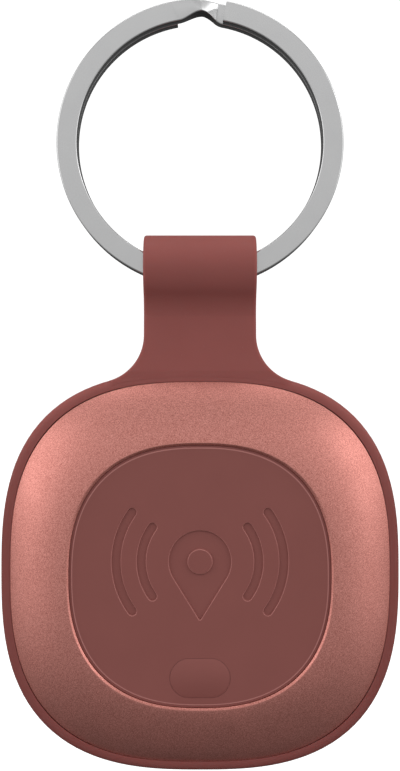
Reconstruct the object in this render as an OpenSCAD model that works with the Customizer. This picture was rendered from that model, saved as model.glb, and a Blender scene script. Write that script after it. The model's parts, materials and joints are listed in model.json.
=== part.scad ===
// Bluetooth tracker tag: a round-cornered puck in a silicone holder that hangs from a split key ring.
// Hanging upright: +Z towards the ring, the front faces -Y, and the origin is the point where a hook
// or a key would carry the ring, the inside of its top.  Every depth below is a distance in front
// of the ring's mid-plane, so a positive depth lies towards -Y.

/* [Key ring] */
// Inside diameter of the split ring
ring_bore_d = 24; // [23.8:0.1:24.4]
// Width of the flat spring wire, measured along the radius
ring_band = 2; // [1.8:0.1:2.1]
// Thickness of one of the two coils
coil_thick = 1.28; // [1.1:0.02:1.28]

/* [Holder] */
// Half of the holder's width and height
holder_half = 19.5; // [19.4:0.1:20]
// Depth of the rim that stands round the puck
rim_depth = 1.9; // [1.7:0.1:2]
// Depth of the holder's back face
back_depth = -4.9; // [-5.2:0.1:-4.85]
// Width of the strap and its loop
strap_w = 11; // [10:0.2:12]
// Outside radius of the loop
loop_r = 3.3; // [3.1:0.1:3.6]
// Radius of the tunnel that the ring runs through
tunnel_r = 2.35; // [2.3:0.05:2.5]

/* [Puck] */
// Half of the puck's width and height
puck_half = 18.45; // [18.4:0.01:18.45]
// Depth of the puck's back face
puck_back = -3.8; // [-3.85:0.01:-3.75]
// Depth of the highest line of the metal trim
crest_depth = 4.7; // [4.6:0.05:4.9]
// Half of the front plate's width and height
plate_half = 12.29; // [12.1:0.01:12.29]
// Depth of the front plate's face
plate_depth = 4.35; // [4.3:0.01:4.4]
// Depth of the sunk emblem
emblem_sink = 0.16; // [0.1:0.01:0.25]

/* [Button] */
// Width of the button
button_w = 5.76; // [5.4:0.02:5.9]
// Height of the button
button_h = 3.74; // [3.5:0.02:3.8]
// How far the button goes in
button_travel = 0.3; // [0.2:0.05:0.3]

/* [Battery] */
// Diameter of the coin cell
cell_d = 20; // [19.8:0.1:20]
// Thickness of the coin cell
cell_h = 3.2; // [3:0.1:3.2]
// Diameter of the battery cover's flange
cover_d = 27.2; // [26.8:0.1:27.6]

/* [Hidden] */
$fn = 64;
SMALL = 32;                                   // segments on small round parts

// ring
ring_r = ring_bore_d / 2;
ring_z = -ring_r;                             // the origin is the inside of the ring's top
coil_mid = coil_thick / 2 + 0.02;             // depth of a coil's middle; the coils all but touch
front_cut = 78.3;                             // angle of the front coil's cut end
rear_cut = 100.4;                             // angle of the rear coil's cut end
joggle_start = 340.8;                         // turn after which the wire steps to the rear coil
joggle_pinch = 0.8;                           // how much narrower the wire is halfway through

// loop and strap, about the tunnel's axis
tunnel_z = ring_z - ring_r - 0.3;
fillet_r = 3;                                 // hollow between loop and strap
strap_front = 1.1;                            // depth of the strap's face under the loop
strap_back = -1.4;
strap_foot = tunnel_z - 12;                   // below the rim's top edge, inside the holder's wall
flare_r = 4.6;                                // hollow between strap and body
flare_z = -30.7;
flare_x = strap_w / 2 + flare_r;
flare_turn = 75;                              // where the hollow meets the body's outline

// body
puck_z = -53.9;
outline_n = 2.7;                              // exponent of the outer outline
plate_n = 2.45;                               // exponent of the plate's outline
outline_steps = 120;
pocket_half = puck_half + 0.08;
pocket_depth = puck_back - 0.05;
window_r = cover_d / 2 + 1;

// puck shells
split_depth = 0.95;                           // where the two housings meet
trim_edge = 1.75;                             // where the trim's dome starts
trim_hole = plate_half + 0.18;
trim_crest = trim_hole + 0.31;
dome_turn = 65;
floor_t = 1;
rear_inner = 16.9;
well_r = 12.2;                                // bore that the battery cover plugs into
well_depth = -1.9;
shoulder_half = 17.3;
shoulder_depth = 1.55;
top_half = 15.3;
top_depth = 3.2;
ceiling_depth = 2.5;
adhesive_t = 0.1;

// screws in the four corners
screw_reach = 11.4;
shank_r = 0.6;
head_r = 1.25;

// board
board_back = -0.1;
board_front = 0.7;
board_half = 15.6;

// button, switch and buzzer
button_z = -9.78;
button_crown = 4.62;
recess_depth = 2.85;
stem_r = 1.2;
plunger_r = 0.8;
plunger_top = 2.3;
flange_w = button_w + 1.6;
buzzer_z = 2.6;

// coin cell
cell_back = puck_back + 0.15;
cell_front = cell_back + cell_h;
cap_r = cell_d / 2 - 1.4;

// ---------- shared geometry ----------

// a point of the outline |x|^n + |z|^n = half^n
function spow(v, p) = sign(v) * pow(abs(v), p);
function outline_point(half, n, a) = [half * spow(cos(a), 2 / n), half * spow(sin(a), 2 / n)];
function outline(half, n) =
  [for (i = [0 : outline_steps - 1]) outline_point(half, n, 360 * i / outline_steps)];
function arc(c, r, a0, a1, steps) =
  [for (i = [0 : steps]) let (a = a0 + (a1 - a0) * i / steps) c + r * [cos(a), sin(a)]];

// extrude a shape drawn in X and Z about the puck's middle, between two depths
module facing(from_depth, to_depth) {
  translate([0, -from_depth, puck_z])
    rotate([90, 0, 0])
      linear_extrude(to_depth - from_depth)
        children();
}

// set a turned shape, whose axis is its own Z, on the puck with its base at a depth
module turned(x, z, depth) {
  translate([x, -depth, puck_z + z])
    rotate([90, 0, 0])
      children();
}

module squircle(half, n) {
  polygon(outline(half, n));
}

module pill(w, h) {
  square([w - h, h], center = true);
  for (side = [-1, 1]) {
    translate([side * (w - h) / 2, 0]) circle(d = h);
  }
}

module at_corners() {
  for (sx = [-1, 1], sz = [-1, 1]) {
    translate([sx * screw_reach, sz * screw_reach]) children();
  }
}

module chip(x, z, w, h, base, t) {
  facing(base, base + t)
    translate([x, z]) square([w, h], center = true);
}

// ---------- key ring ----------

// how far through the joggle the wire is, from 0 in the front coil to 1 in the rear one
function joggle_part(turn) = min(1, max(0, (turn - joggle_start) / (360 - joggle_start)));

// the wire's square section after a turn clockwise from the front cut; it is pressed narrower
// where it steps from one coil to the other
function wire_section(turn) =
  let (part = joggle_part(turn),
       angle = front_cut - turn,
       inner = ring_r + joggle_pinch * pow(sin(180 * part), 2),
       depth = coil_mid * cos(180 * part))
    [
      for (corner = [[0, 1], [1, 1], [1, -1], [0, -1]])
        let (r = corner[0] == 0 ? inner : ring_r + ring_band)
          [r * cos(angle), -(depth + corner[1] * coil_thick / 2), ring_z + r * sin(angle)]
    ];

module split_ring() {
  whole_turn = 720 + front_cut - rear_cut;
  plain = [for (turn = [0 : 4 : joggle_start - 1]) turn];
  stepped = [for (turn = [joggle_start : 1.5 : 360]) turn];
  last_coil = [for (turn = [364 : 4 : whole_turn - 1]) turn];
  turns = concat(plain, stepped, last_coil, [whole_turn]);
  points = [for (turn = turns) each wire_section(turn)];
  last = 4 * (len(turns) - 1);
  walls = [
    for (i = [0 : len(turns) - 2], k = [0 : 3])
      let (a = 4 * i + k, b = 4 * i + (k + 1) % 4)
        each [[a, b, b + 4], [a, b + 4, a + 4]]
  ];
  color("silver")
    polyhedron(points, concat(walls, [[3, 2, 1, 0], [last, last + 1, last + 2, last + 3]]));
}

// ---------- silicone holder ----------

// side view of loop and strap, as [y, z] about the tunnel's axis; hollows blend the two
module strap_side() {
  reach = loop_r + fillet_r;
  front_y = -strap_front;
  back_y = -strap_back;
  front_c = [front_y - fillet_r, -sqrt(pow(reach, 2) - pow(front_y - fillet_r, 2))];
  back_c = [back_y + fillet_r, -sqrt(pow(reach, 2) - pow(back_y + fillet_r, 2))];
  front_a = atan2(-front_c[1], -front_c[0]);
  back_a = atan2(-back_c[1], -back_c[0]);
  polygon(concat(
    arc([0, 0], loop_r, back_a - 180, 180 + front_a, 40),
    arc(front_c, fillet_r, front_a, 0, 10),
    [[-rim_depth, strap_foot - tunnel_z], [-strap_back + 0.6, strap_foot - tunnel_z]],
    arc(back_c, fillet_r, 180, back_a, 10)
  ));
}

// front view of the strap, flaring into the body at its foot
module strap_face() {
  half = strap_w / 2;
  left = arc([-flare_x, flare_z], flare_r, 0, -flare_turn, 12);
  right = arc([flare_x, flare_z], flare_r, 180 + flare_turn, 180, 12);
  foot = flare_x - flare_r * cos(flare_turn);
  polygon(concat(
    [[half, tunnel_z + loop_r + 1], [-half, tunnel_z + loop_r + 1]],
    left,
    [[-foot, strap_foot], [foot, strap_foot]],
    right
  ));
}

module strap() {
  intersection() {
    translate([flare_x, 0, tunnel_z])
      rotate([90, 0, -90])
        linear_extrude(2 * flare_x)
          mirror([1, 0]) strap_side();
    translate([0, 10, 0])
      rotate([90, 0, 0])
        linear_extrude(20)
          strap_face();
  }
}

module holder() {
  color([0.50, 0.29, 0.27]) difference() {
    union() {
      facing(back_depth, rim_depth) squircle(holder_half, outline_n);
      strap();
    }
    facing(pocket_depth, crest_depth) squircle(pocket_half, outline_n);
    facing(back_depth - 1, crest_depth) circle(r = window_r);
    translate([-strap_w, 0, tunnel_z])
      rotate([0, 90, 0])
        cylinder(r = tunnel_r, h = 2 * strap_w);
  }
}

// ---------- puck, outside ----------

function trim_n(half) =
  plate_n + (outline_n - plate_n) * (half - trim_hole) / (puck_half - trim_hole);

// cross-section of the trim as [half-width, depth]: skirt, dome, inner bevel and underside
function trim_section() = concat(
  [[puck_half, split_depth]],
  [
    for (i = [0 : 10])
      let (t = dome_turn * i / 10)
        [
          trim_crest + (puck_half - trim_crest) * (cos(t) - cos(dome_turn)) / (1 - cos(dome_turn)),
          trim_edge + (crest_depth - trim_edge) * sin(t) / sin(dome_turn)
        ]
  ],
  [
    [trim_hole, plate_depth],
    [trim_hole, top_depth + 0.05],
    [top_half + 0.1, top_depth + 0.05],
    [shoulder_half + 0.1, shoulder_depth + 0.05],
    [shoulder_half + 0.1, split_depth]
  ]
);

module trim_ring() {
  section = trim_section();
  rows = len(section);
  points = [
    for (s = section)
      for (i = [0 : outline_steps - 1])
        let (p = outline_point(s[0], trim_n(s[0]), 360 * i / outline_steps))
          [p[0], -s[1], puck_z + p[1]]
  ];
  faces = [
    for (j = [0 : rows - 1], i = [0 : outline_steps - 1])
      let (
        near = j * outline_steps,
        far = ((j + 1) % rows) * outline_steps,
        next = (i + 1) % outline_steps
      )
        each [[near + i, near + next, far + next], [near + i, far + next, far + i]]
  ];
  color([0.76, 0.48, 0.45]) polyhedron(points, faces);
}

module pin_mark() {
  head_r_pin = 3;
  head_z = 1.3;
  tip_z = -4.6;
  slope = asin(head_r_pin / (head_z - tip_z));
  difference() {
    union() {
      translate([0, head_z]) circle(r = head_r_pin);
      polygon([
        [0, tip_z],
        [head_r_pin * cos(slope), head_z - head_r_pin * sin(slope)],
        [0, head_z],
        [-head_r_pin * cos(slope), head_z - head_r_pin * sin(slope)]
      ]);
    }
    translate([0, head_z]) circle(r = 1.2);
  }
}

module wave_mark(r) {
  half_w = 0.45;
  spread = 36;
  for (side = [0, 180]) {
    translate([0, 1.3]) rotate(side)
      polygon(concat(
        arc([0, 0], r + half_w, -spread, spread, 16),
        arc([0, 0], r - half_w, spread, -spread, 16)
      ));
  }
}

module emblem() {
  pin_mark();
  wave_mark(5.6);
  wave_mark(8);
}

module front_plate() {
  color([0.48, 0.29, 0.27]) difference() {
    union() {
      facing(top_depth + adhesive_t, plate_depth - 0.15) squircle(plate_half, plate_n);
      facing(plate_depth - 0.15, plate_depth) squircle(plate_half - 0.15, plate_n);
    }
    facing(plate_depth - emblem_sink, plate_depth + 1) emblem();
    facing(top_depth, plate_depth + 1)
      translate([0, button_z]) pill(button_w + 0.16, button_h + 0.16);
    facing(top_depth, top_depth + 0.55)
      translate([0, button_z]) pill(flange_w + 0.3, button_h + 0.2);
  }
}

module plate_adhesive() {
  color("ivory") facing(top_depth, top_depth + adhesive_t) difference() {
    squircle(plate_half - 0.5, plate_n);
    translate([0, button_z]) square([flange_w + 0.8, 6.4], center = true);
  }
}

module button() {
  color([0.50, 0.30, 0.28]) {
    facing(top_depth + adhesive_t, top_depth + 0.5)
      translate([0, button_z]) pill(flange_w, button_h);
    facing(top_depth + 0.5, button_crown - 0.15)
      translate([0, button_z]) pill(button_w, button_h);
    facing(button_crown - 0.15, button_crown)
      translate([0, button_z]) pill(button_w - 0.8, button_h - 0.8);
    turned(0, button_z, plunger_top + 0.02)
      cylinder(r = stem_r, h = top_depth + adhesive_t - plunger_top - 0.02, $fn = SMALL);
  }
}

module button_seal() {
  cord_r = 0.22;
  color("dimgray") turned(0, button_z, 2.25)
    rotate_extrude($fn = 48)
      translate([stem_r + 0.05 + cord_r, 0]) circle(r = cord_r, $fn = 20);
}

module front_housing() {
  color([0.24, 0.24, 0.25]) difference() {
    union() {
      facing(split_depth, shoulder_depth) squircle(shoulder_half, outline_n);
      facing(shoulder_depth, top_depth) squircle(top_half, outline_n);
      facing(split_depth, 2.4) at_corners() circle(r = 1.4);
    }
    difference() {
      facing(split_depth - 1, ceiling_depth) squircle(top_half - 0.8, outline_n);
      facing(split_depth - 1, ceiling_depth + 1) at_corners() circle(r = 1.4);
      facing(2, ceiling_depth + 1) translate([0, button_z]) circle(r = 2.3);
    }
    facing(0, 2.2) at_corners() circle(r = shank_r);
    facing(recess_depth, top_depth + 1)
      translate([0, button_z]) pill(flange_w + 0.3, button_h + 0.2);
    turned(0, button_z, 0) cylinder(r = stem_r + 0.1, h = top_depth);
    turned(0, button_z, 0) cylinder(r = 1.75, h = ceiling_depth);
  }
}

// ---------- puck, rear half ----------

module housing_seal() {
  color("dimgray") facing(split_depth - 0.4, split_depth) difference() {
    squircle(17.6, outline_n);
    squircle(17.05, outline_n);
  }
}

module rear_housing() {
  color([0.45, 0.27, 0.25]) difference() {
    union() {
      facing(puck_back, puck_back + floor_t) squircle(puck_half, outline_n);
      facing(puck_back, split_depth) difference() {
        squircle(puck_half, outline_n);
        squircle(rear_inner, outline_n);
      }
      facing(puck_back, well_depth) circle(r = well_r + 1.1);
      facing(puck_back, split_depth) at_corners() circle(r = 1.9);
    }
    turned(0, 0, puck_back - 1) cylinder(r = well_r, h = 5, $fn = 128);
    facing(puck_back - 1, 3) at_corners() circle(r = shank_r + 0.1);
    facing(puck_back - 1, puck_back + 0.8) at_corners() circle(r = head_r + 0.1);
    facing(split_depth - 0.42, 3) difference() {
      squircle(17.62, outline_n);
      squircle(17.03, outline_n);
    }
  }
}

module housing_screws() {
  color("silver") for (sx = [-1, 1], sz = [-1, 1]) {
    turned(sx * screw_reach, sz * screw_reach, puck_back + 0.1) difference() {
      union() {
        cylinder(r = head_r, h = 0.7, $fn = SMALL);
        cylinder(r = shank_r, h = 5.7, $fn = SMALL);
      }
      for (turn = [0, 90]) {
        rotate(turn) translate([0, 0, 0.2]) cube([1.5, 0.3, 0.5], center = true);
      }
    }
  }
}

module battery_cover() {
  spigot_r = well_r - 0.1;
  color([0.42, 0.25, 0.24]) difference() {
    union() {
      turned(0, 0, puck_back - 0.95) cylinder(r = cover_d / 2, h = 0.95, $fn = 128);
      turned(0, 0, puck_back - 0.5) cylinder(r = spigot_r, h = 2.1, $fn = 128);
    }
    turned(0, 0, puck_back) cylinder(r = spigot_r - 1.2, h = 3, $fn = 128);
    turned(0, 0, puck_back + 0.5) difference() {
      cylinder(r = spigot_r + 1, h = 0.7);
      cylinder(r = spigot_r - 0.6, h = 0.7);
    }
    facing(puck_back - 2, puck_back - 0.35)
      translate([0, -cover_d / 2]) square([6, 1.6], center = true);
  }
}

module cover_seal() {
  cord_r = 0.32;
  color("dimgray") turned(0, 0, puck_back + 0.85)
    rotate_extrude($fn = 128)
      translate([well_r - 0.05 - cord_r, 0]) circle(r = cord_r, $fn = 24);
}

module cover_pad() {
  color("darkgray") facing(puck_back, cell_back) circle(r = 7);
}

// ---------- electronics ----------

module circuit_board() {
  color("seagreen") facing(board_back, board_front) difference() {
    squircle(board_half, outline_n);
    at_corners() circle(r = 2.2);
  }
}

module bluetooth_chip() {
  color([0.12, 0.12, 0.13]) chip(-8.4, -3.4, 5, 5, board_front, 0.85);
}

module crystals() {
  color("gainsboro") {
    chip(-8.6, 1.2, 3.2, 2.5, board_front, 0.7);
    chip(-11.8, -8, 2, 1.2, board_front, 0.6);
  }
}

module chip_antenna() {
  color("whitesmoke") chip(0, 13.1, 7, 2, board_front, 1.1);
}

module chip_parts() {
  color([0.55, 0.47, 0.38]) {
    for (i = [0 : 3]) {
      chip(-12.2, -5.2 + 2 * i, 1, 0.5, board_front, 0.5);
      chip(7 + 1.4 * i, -6, 0.5, 1, board_front, 0.5);
      chip(7 + 1.4 * i, -8.6, 0.5, 1, board_front, 0.5);
    }
    for (i = [0 : 2]) {
      chip(-6.2 + 1.3 * i, 11.2, 0.5, 1, board_front, 0.5);
    }
    chip(11.2, -2, 2.9, 1.6, board_front, 1);
  }
}

module switch_body() {
  color([0.15, 0.15, 0.16]) difference() {
    chip(0, button_z, 4.5, 4.5, board_front, 1.1);
    turned(0, button_z, board_front + 0.05) cylinder(r = plunger_r + 0.05, h = 3, $fn = SMALL);
  }
}

module switch_frame() {
  color("silver") difference() {
    chip(0, button_z, 4.5, 4.5, board_front + 1.1, 0.12);
    turned(0, button_z, board_front) cylinder(r = plunger_r + 0.1, h = 3, $fn = SMALL);
  }
}

module switch_plunger() {
  color("black") turned(0, button_z, 1.1)
    cylinder(r = plunger_r, h = plunger_top - 1.1, $fn = SMALL);
}

module buzzer_disc() {
  color("goldenrod") turned(0, buzzer_z, ceiling_depth - 0.2) cylinder(r = 7.5, h = 0.2);
}

module buzzer_ceramic() {
  color("white") turned(0, buzzer_z, ceiling_depth - 0.35) cylinder(r = 5.2, h = 0.15);
}

module buzzer_contacts() {
  color("gold") for (spot = [[-2.6, 0.35], [6.4, 0.2]]) {
    tip = ceiling_depth - spot[1] - board_front;
    turned(spot[0], buzzer_z, board_front) {
      cylinder(r = 0.6, h = 0.6, $fn = SMALL);
      cylinder(r = 0.3, h = tip, $fn = SMALL);
    }
  }
}

// ---------- battery ----------

module cell_can() {
  color("lightgray") turned(0, 0, cell_back) difference() {
    cylinder(d = cell_d, h = cell_h - 0.4, $fn = 128);
    translate([0, 0, cell_h - 0.7]) cylinder(r = cap_r + 0.5, h = 1);
  }
}

module cell_cap() {
  color("silver") turned(0, 0, cell_back + cell_h - 0.7) cylinder(r = cap_r, h = 0.7);
}

module cell_gasket() {
  color("black") turned(0, 0, cell_back + cell_h - 0.7) difference() {
    cylinder(r = cap_r + 0.5, h = 0.4);
    translate([0, 0, -1]) cylinder(r = cap_r, h = 3);
  }
}

module battery_tray() {
  color([0.2, 0.2, 0.21]) difference() {
    turned(0, 0, well_depth) cylinder(r = 13.2, h = board_back - well_depth, $fn = 128);
    turned(0, 0, well_depth - 1) cylinder(r = cell_d / 2 + 0.15, h = 5, $fn = 128);
    chip(10.9, 0, 2.2, 3.4, well_depth - 1, 5);
  }
}

// leaf that presses on the side of the can
module positive_contact() {
  side = cell_d / 2;
  color("gold") {
    chip(side + 0.075, 0, 0.15, 2.4, board_back - 1.5, 1.5);
    chip(side + 0.85, 0, 1.7, 2.4, board_back - 0.15, 0.15);
  }
}

// leaf that bends down from the board to the cap
module negative_contact() {
  leaf_t = 0.12;
  gap = board_back - cell_front;
  color("gold") translate([0, -board_back, puck_z - 1])
    linear_extrude(2)
      polygon([
        [-4, 0],
        [-2, 0],
        [2, gap - leaf_t],
        [4, gap - leaf_t],
        [4, gap],
        [2, gap],
        [-2, leaf_t],
        [-4, leaf_t]
      ]);
}

split_ring();
holder();
trim_ring();
front_plate();
plate_adhesive();
button();
button_seal();
front_housing();
housing_seal();
rear_housing();
housing_screws();
circuit_board();
bluetooth_chip();
crystals();
chip_antenna();
chip_parts();
switch_body();
switch_frame();
switch_plunger();
buzzer_disc();
buzzer_ceramic();
buzzer_contacts();
cell_can();
cell_cap();
cell_gasket();
positive_contact();
negative_contact();
battery_tray();
battery_cover();
cover_seal();
cover_pad();
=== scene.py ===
import json
from math import asin, atan2, cos, degrees, pi, radians, sin, sqrt, tan

import bmesh
import bpy
from mathutils import Matrix, Vector


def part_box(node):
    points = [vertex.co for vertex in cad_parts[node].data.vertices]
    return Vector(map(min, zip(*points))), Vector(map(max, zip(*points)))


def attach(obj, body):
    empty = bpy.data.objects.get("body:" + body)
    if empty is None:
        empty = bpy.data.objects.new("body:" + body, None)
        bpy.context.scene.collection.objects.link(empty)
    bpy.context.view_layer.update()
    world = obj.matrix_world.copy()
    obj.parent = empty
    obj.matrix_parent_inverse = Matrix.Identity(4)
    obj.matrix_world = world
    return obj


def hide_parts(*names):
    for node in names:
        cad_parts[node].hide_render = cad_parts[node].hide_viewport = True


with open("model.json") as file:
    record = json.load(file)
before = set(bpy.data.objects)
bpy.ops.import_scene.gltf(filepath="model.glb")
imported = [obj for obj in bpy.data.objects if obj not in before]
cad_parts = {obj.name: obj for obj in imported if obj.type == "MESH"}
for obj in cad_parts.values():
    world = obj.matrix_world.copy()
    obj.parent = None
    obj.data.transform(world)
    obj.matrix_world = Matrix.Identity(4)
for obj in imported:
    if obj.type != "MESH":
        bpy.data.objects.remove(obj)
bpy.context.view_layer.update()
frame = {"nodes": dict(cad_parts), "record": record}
print("frame loaded:", len(frame["nodes"]), "nodes")

# Pieces are drawn in millimetres, lying on their backs: X to the right, Y up the object and Z out of
# its front. stand() turns them upright into the frame, about a middle that comes from the CAD boxes.
mm = 0.001
record = frame["record"]


def middleOf(node):
    low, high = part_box(node)
    return (low + high) / 2


def depthsOf(node):  # how far its back and its front lie in front of the ring's mid-plane
    low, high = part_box(node)
    return -high.y / mm, -low.y / mm


def widthOf(node):
    low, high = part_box(node)
    return (high.x - low.x) / mm


def bodyOf(node):
    return next(body for body, nodes in record["behaviour"]["bodies"].items() if node in nodes)


puckZ = middleOf("rear_housing").z
ringZ = middleOf("split_ring").z
coverR = widthOf("battery_cover") / 2
trimBack, trimFront = depthsOf("trim_ring")
plateBack, plateFront = depthsOf("front_plate")
shellBack = depthsOf("rear_housing")[0]


# Tools that draw meshes.

def stand(bm, z):
    turn = Matrix.Translation((0, 0, z)) @ Matrix.Rotation(pi / 2, 4, "X") @ Matrix.Scale(mm, 4)
    bmesh.ops.transform(bm, matrix=turn, verts=bm.verts)


def squareShape(power):  # |x|^n + |y|^n = size^n, and a power of 2 gives a circle
    def shape(turn, size):
        n = power(size) if callable(power) else power
        reach = size / (abs(cos(turn)) ** n + abs(sin(turn)) ** n) ** (1 / n)
        return reach * cos(turn), reach * sin(turn)

    return shape


def pillShape(width, height, centre=(0, 0)):  # size is how far inside the pill's edge
    def shape(turn, size):
        r = height / 2 - size
        side = (width - height) / 2 * (1 if cos(turn) >= 0 else -1)
        return centre[0] + side + r * cos(turn), centre[1] + r * sin(turn)

    return shape


def roundShapeAt(centre):
    def shape(turn, size):
        return centre[0] + size * cos(turn), centre[1] + size * sin(turn)

    return shape


roundShape = squareShape(2)


def arcPoints(middle, radius, start, end, steps):
    angles = [start + (end - start) * k / steps for k in range(steps + 1)]
    return [Vector(middle) + radius * Vector((cos(a), sin(a))) for a in angles]


def rounded(corners, closed=True, steps=4):  # (size, depth, radius) corners become a section's points
    points = []
    for i, (size, depth, radius) in enumerate(corners):
        here = Vector((size, depth))
        isEnd = not closed and i in (0, len(corners) - 1)
        if radius == 0 or isEnd:
            points.append(here)
            continue
        a = (Vector(corners[i - 1][:2]) - here).normalized()
        b = (Vector(corners[(i + 1) % len(corners)][:2]) - here).normalized()
        half = a.angle(b) / 2
        middle = here + (a + b).normalized() * radius / sin(half)
        first = here + a * radius / tan(half) - middle
        last = here + b * radius / tan(half) - middle
        start = atan2(first.y, first.x)
        sweep = (atan2(last.y, last.x) - start + pi) % (2 * pi) - pi
        for k in range(steps + 1):
            angle = start + sweep * k / steps
            points.append(middle + radius * Vector((cos(angle), sin(angle))))
    return points


def loft(section, shape=roundShape, steps=96, closed=True):  # a closed section gives a ring
    bm = bmesh.new()
    turnOf = bm.verts.layers.float.new("turn")
    bmesh.ops.create_circle(bm, segments=steps, radius=1)
    for v in bm.verts:
        v[turnOf] = atan2(v.co.y, v.co.x)

    def place(verts, row):
        for v in verts:
            x, y = shape(v[turnOf], row[0])
            v.co = (x, y, row[1])

    place(bm.verts, section[0])
    firstEdges = list(bm.edges)
    edges = firstEdges
    for row in section[1:]:
        made = bmesh.ops.extrude_edge_only(bm, edges=edges)["geom"]
        place([g for g in made if isinstance(g, bmesh.types.BMVert)], row)
        edges = [g for g in made if isinstance(g, bmesh.types.BMEdge) and g.is_boundary]
    if closed:
        bmesh.ops.bridge_loops(bm, edges=firstEdges + edges)
    else:
        bmesh.ops.edgeloop_fill(bm, edges=firstEdges)
        bmesh.ops.edgeloop_fill(bm, edges=edges)
    bmesh.ops.recalc_face_normals(bm, faces=bm.faces)
    return bm


def sunk(outline, top, floor, lip, draft, reach=0.4):  # a cutter with a bevelled lip and sloping walls
    bm = bmesh.new()
    verts = [bm.verts.new((x, y, top)) for x, y in outline]
    face = bm.faces.new(verts)
    if face.normal.z > 0:
        bmesh.ops.reverse_faces(bm, faces=[face])
    face.normal_update()
    upper = bmesh.ops.extrude_face_region(bm, geom=[face], use_keep_orig=True)["geom"]
    lifted = [g for g in upper if isinstance(g, bmesh.types.BMVert)]
    bmesh.ops.translate(bm, verts=lifted, vec=(0, 0, reach))
    bmesh.ops.recalc_face_normals(bm, faces=bm.faces)
    bottom = min(bm.faces, key=lambda f: f.calc_center_median().z)
    bmesh.ops.inset_region(bm, faces=[bottom], thickness=lip, depth=0)
    bmesh.ops.translate(bm, verts=bottom.verts, vec=(0, 0, -lip))
    bmesh.ops.inset_region(bm, faces=[bottom], thickness=draft, depth=0)
    bmesh.ops.translate(bm, verts=bottom.verts, vec=(0, 0, floor - top + lip))
    return bm


def looseObject(bm, name="cutter"):
    mesh = bpy.data.meshes.new(name)
    bm.to_mesh(mesh)
    bm.free()
    obj = bpy.data.objects.new(name, mesh)
    bpy.context.scene.collection.objects.link(obj)
    return obj


def combine(bm, other, operation="DIFFERENCE"):  # boolean of two bmeshes, as a new bmesh
    target, tool = looseObject(bm, "target"), looseObject(other)
    boolean = target.modifiers.new("boolean", "BOOLEAN")
    boolean.operation, boolean.solver, boolean.object = operation, "EXACT", tool
    graph = bpy.context.evaluated_depsgraph_get()
    mesh = bpy.data.meshes.new_from_object(target.evaluated_get(graph))
    out = bmesh.new()
    out.from_mesh(mesh)
    for obj in (target, tool):
        bpy.data.meshes.remove(obj.data)
    bpy.data.meshes.remove(mesh)
    return out


def openEdges(bm):
    return [e for e in bm.edges if not e.is_manifold]


def makePiece(bm, name, material, nodes, z=None, sharp=32, weighted=True):
    if z is not None:
        stand(bm, z)
    bmesh.ops.remove_doubles(bm, verts=bm.verts, dist=1e-8)
    bmesh.ops.recalc_face_normals(bm, faces=bm.faces)
    faults = len(openEdges(bm))
    mesh = bpy.data.meshes.new(name)
    bm.to_mesh(mesh)
    bm.free()
    mesh.shade_smooth()
    mesh.set_sharp_from_angle(angle=radians(sharp))
    mesh.materials.append(material)
    obj = bpy.data.objects.new(name, mesh)
    bpy.context.scene.collection.objects.link(obj)
    if weighted:
        normals = obj.modifiers.new("flatFaces", "WEIGHTED_NORMAL")
        normals.keep_sharp = True
    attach(obj, bodyOf(nodes[0]))
    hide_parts(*nodes)
    print("made", name, len(mesh.polygons), "faces", f"({faults} open edges)" if faults else "")
    return obj


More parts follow.
